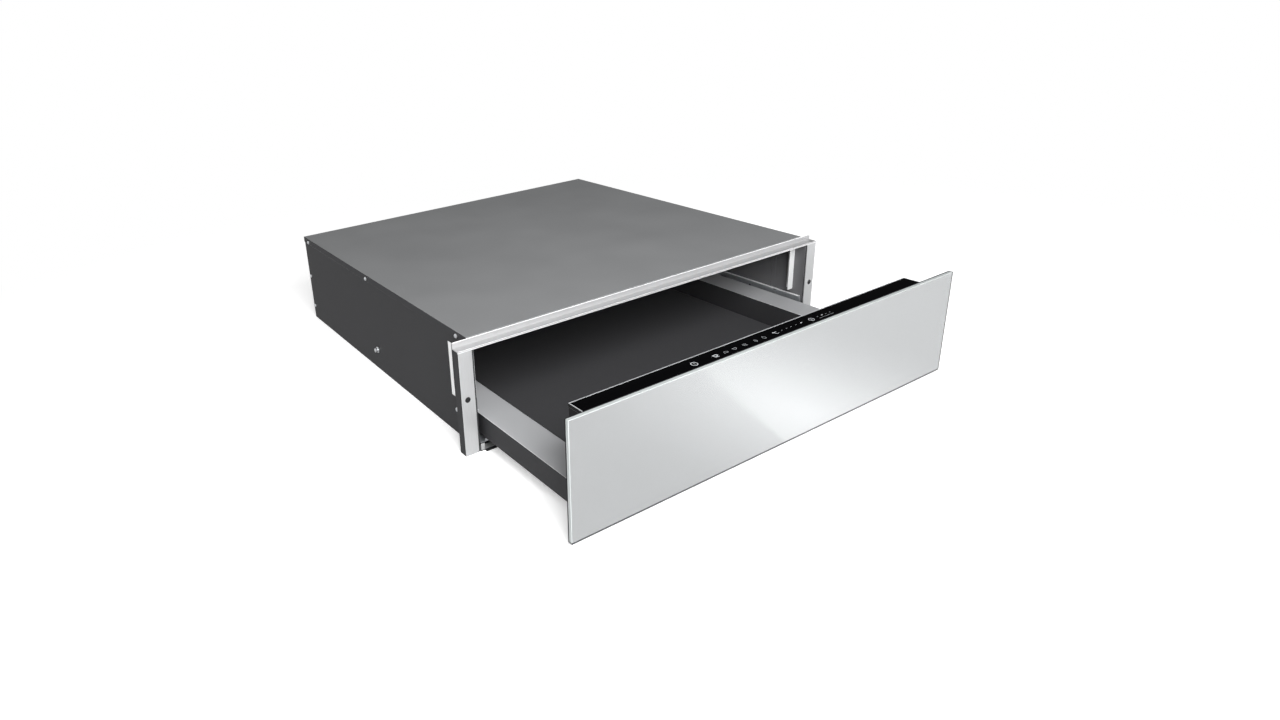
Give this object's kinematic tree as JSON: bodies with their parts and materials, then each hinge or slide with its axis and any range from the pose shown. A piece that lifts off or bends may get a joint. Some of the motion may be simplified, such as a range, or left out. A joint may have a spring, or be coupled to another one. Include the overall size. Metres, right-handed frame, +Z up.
{
  "type": "warming drawer",
  "caption": "Built-in warming drawer: wide low case with a stepped front frame, a glass-fronted drawer on ball runners, touch controls behind the front, fan and ring heater.",
  "frame": {"origin": "middle of the underside, in the plane where the front frame meets the face of the cabinet", "axes": "+X to the right seen from the front, +Y to the rear of the cabinet, +Z up"},
  "size_m": [0.597, 0.7386, 0.14],
  "materials": {
    "case_top": "satin grey",
    "case_side": "satin dark grey",
    "stainless": "brushed",
    "zinc": "bright zinc",
    "cavity_steel": "dull",
    "wool": "mineral wool",
    "motor_steel": "laminated stack",
    "heater": "oxidised tube",
    "brown_plastic": "moulded",
    "board": "coated board",
    "pale_plastic": "moulded",
    "black_plastic": "moulded",
    "wire": "sleeved wires",
    "front_glass": "silver grey behind clear glass",
    "black_steel": "matt",
    "rubber": "matt",
    "control_glass": "polished black",
    "drawer_flange": "glossy grey",
    "drawer_steel": "matt dark grey",
    "mat": "matt dark grey",
    "cage": "plain",
    "wheel": "plain"
  },
  "bodies": {
    "case": {"top_panel": "case_top", "side_panel_left": "case_side", "side_panel_right": "case_side", "bottom_panel": "case_side", "back_panel": "case_side", "frame_stile_left": "stainless", "frame_stile_right": "stainless", "frame_top_rail": "stainless", "front_sill": "stainless", "guide_plate_left": "stainless", "guide_plate_right": "stainless", "side_strip_left": "stainless", "side_strip_right": "stainless", "case_screws": "zinc", "runner_studs": "zinc", "runner_outer_left": "zinc", "runner_outer_right": "zinc", "temperature_sensor": "zinc", "latch_spring": "zinc", "fan_housing": "zinc", "cavity_ceiling": "cavity_steel", "cavity_rear_wall": "cavity_steel", "insulation_mat": "wool", "fan_motor": "motor_steel", "heating_element": "heater", "thermal_cutout": "brown_plastic", "power_board": "board", "terminal_block": "pale_plastic", "cable_gland": "black_plastic", "latch_body": "black_plastic", "wiring_loom": "wire"},
    "drawer": {"front_glass": "front_glass", "front_backplate": "black_steel", "front_buffers": "rubber", "front_brackets": "zinc", "control_housing": "black_plastic", "control_glass": "control_glass", "control_trim": "stainless", "touch_board": "board", "drawer_side_left": "drawer_flange", "drawer_side_right": "drawer_flange", "drawer_floor": "drawer_steel", "drawer_front_wall": "drawer_steel", "drawer_rear_wall": "drawer_steel", "floor_mat": "mat", "runner_inner_left": "zinc", "runner_inner_right": "zinc", "latch_striker": "zinc", "drawer_screws": "zinc"},
    "slide_left": {"runner_mid_left": "zinc"},
    "slide_right": {"runner_mid_right": "zinc"},
    "outer_balls_left": {"outer_cage_left": "cage"},
    "outer_balls_right": {"outer_cage_right": "cage"},
    "inner_balls_left": {"inner_cage_left": "cage"},
    "inner_balls_right": {"inner_cage_right": "cage"},
    "fan": {"fan_rotor": "wheel"},
    "latch": {"latch_plunger": "pale_plastic"}
  },
  "joints": [
    {"name": "drawer_slide", "type": "slide", "parent": "case", "child": "drawer", "axis": [0, -1, 0], "range_m": [-0.192, 0.248]},
    {"name": "slide_left_run", "type": "slide", "parent": "case", "child": "slide_left", "axis": [0, -1, 0], "range_m": [-0.096, 0.124]},
    {"name": "outer_balls_left_roll", "type": "slide", "parent": "case", "child": "outer_balls_left", "axis": [0, -1, 0], "range_m": [-0.048, 0.062]},
    {"name": "inner_balls_left_roll", "type": "slide", "parent": "case", "child": "inner_balls_left", "axis": [0, -1, 0], "range_m": [-0.144, 0.186]},
    {"name": "slide_right_run", "type": "slide", "parent": "case", "child": "slide_right", "axis": [0, -1, 0], "range_m": [-0.096, 0.124]},
    {"name": "outer_balls_right_roll", "type": "slide", "parent": "case", "child": "outer_balls_right", "axis": [0, -1, 0], "range_m": [-0.048, 0.062]},
    {"name": "inner_balls_right_roll", "type": "slide", "parent": "case", "child": "inner_balls_right", "axis": [0, -1, 0], "range_m": [-0.144, 0.186]},
    {"name": "fan_spin", "type": "hinge", "parent": "case", "child": "fan", "pos_m": [0, 0.4738, 0.08245], "axis": [0, 1, 0], "continuous": true},
    {"name": "latch_press", "type": "slide", "parent": "case", "child": "latch", "axis": [0, 1, 0], "range_m": [0, 0.005], "stiffness_N_per_m": 400}
  ],
  "couplings": [
    {"joint": "slide_left_run", "follows": "drawer_slide", "ratio": 0.5},
    {"joint": "outer_balls_left_roll", "follows": "drawer_slide", "ratio": 0.25},
    {"joint": "inner_balls_left_roll", "follows": "drawer_slide", "ratio": 0.75},
    {"joint": "slide_right_run", "follows": "drawer_slide", "ratio": 0.5},
    {"joint": "outer_balls_right_roll", "follows": "drawer_slide", "ratio": 0.25},
    {"joint": "inner_balls_right_roll", "follows": "drawer_slide", "ratio": 0.75}
  ]
}
